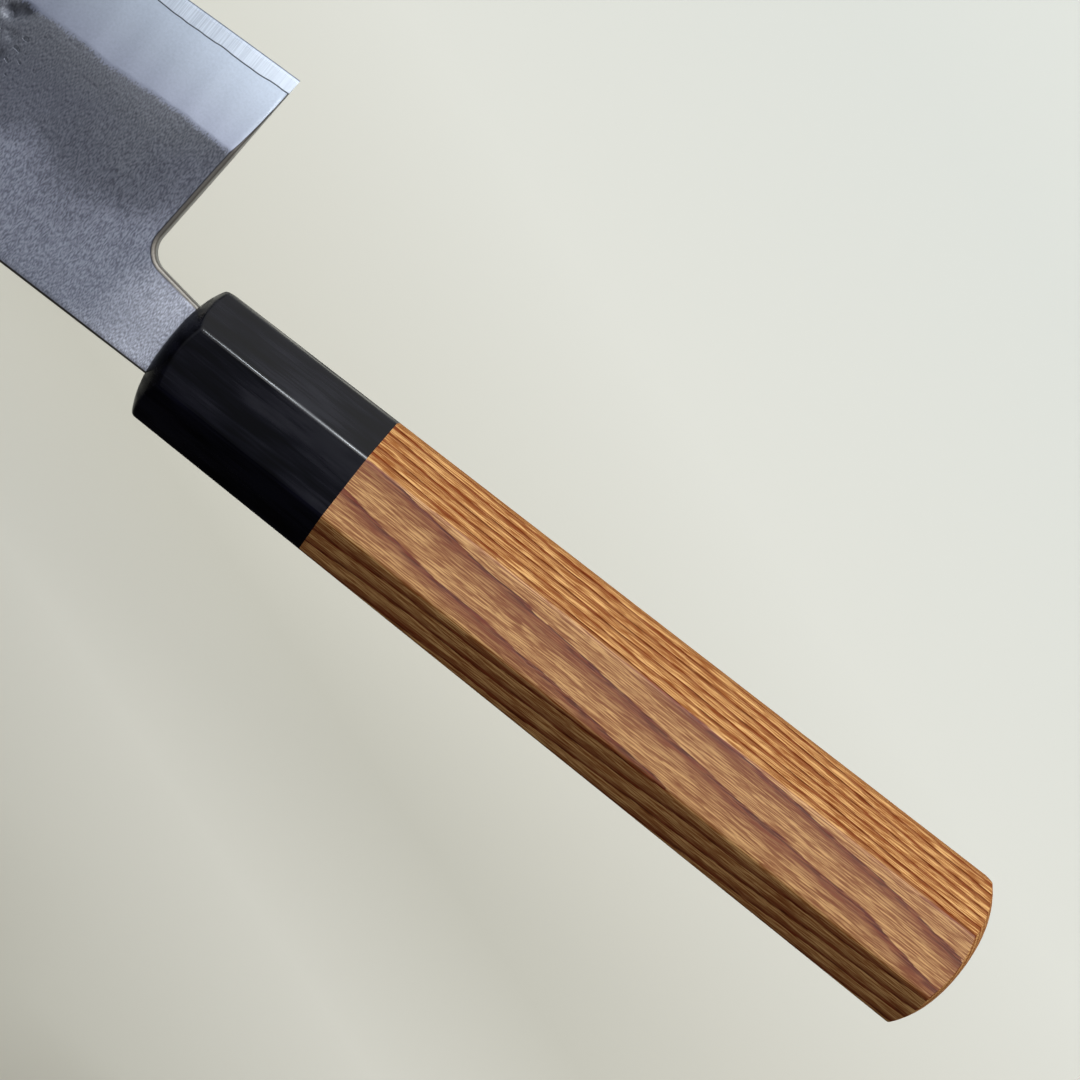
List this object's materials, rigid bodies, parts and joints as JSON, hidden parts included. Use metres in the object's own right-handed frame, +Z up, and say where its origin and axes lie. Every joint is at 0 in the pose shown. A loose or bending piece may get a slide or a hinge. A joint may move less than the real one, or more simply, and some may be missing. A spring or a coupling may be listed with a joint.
{
  "type": "bunka knife",
  "caption": "Japanese kitchen knife with a wide three-layer blade, a straight clipped tip, a dark ferrule and an octagonal wooden handle.",
  "frame": {"origin": "under the middle of the knife's box, on the plane it lies on", "axes": "+X along the knife towards the tip, +Y towards the spine, +Z up out of the blade's left side as it lies on its right side"},
  "size_m": [0.3132, 0.052, 0.0211],
  "materials": {
    "core_steel": "polished hard steel, ground with fine lines across the edge",
    "cladding_steel": "soft steel, dark and finely scratched above the bevel, hazy and pale on it",
    "ferrule_wood": "black resin-filled laminated wood, satin polished",
    "handle_wood": "ring-porous hardwood, oiled satin",
    "dowel_wood": "plain sanded hardwood",
    "bedding_resin": "cured casting resin"
  },
  "bodies": {
    "root": {"core_steel": "core_steel", "left_cladding": "cladding_steel", "right_cladding": "cladding_steel", "ferrule": "ferrule_wood", "handle_body": "handle_wood", "dowel": "dowel_wood", "tang_bedding": "bedding_resin"}
  },
  "joints": []
}
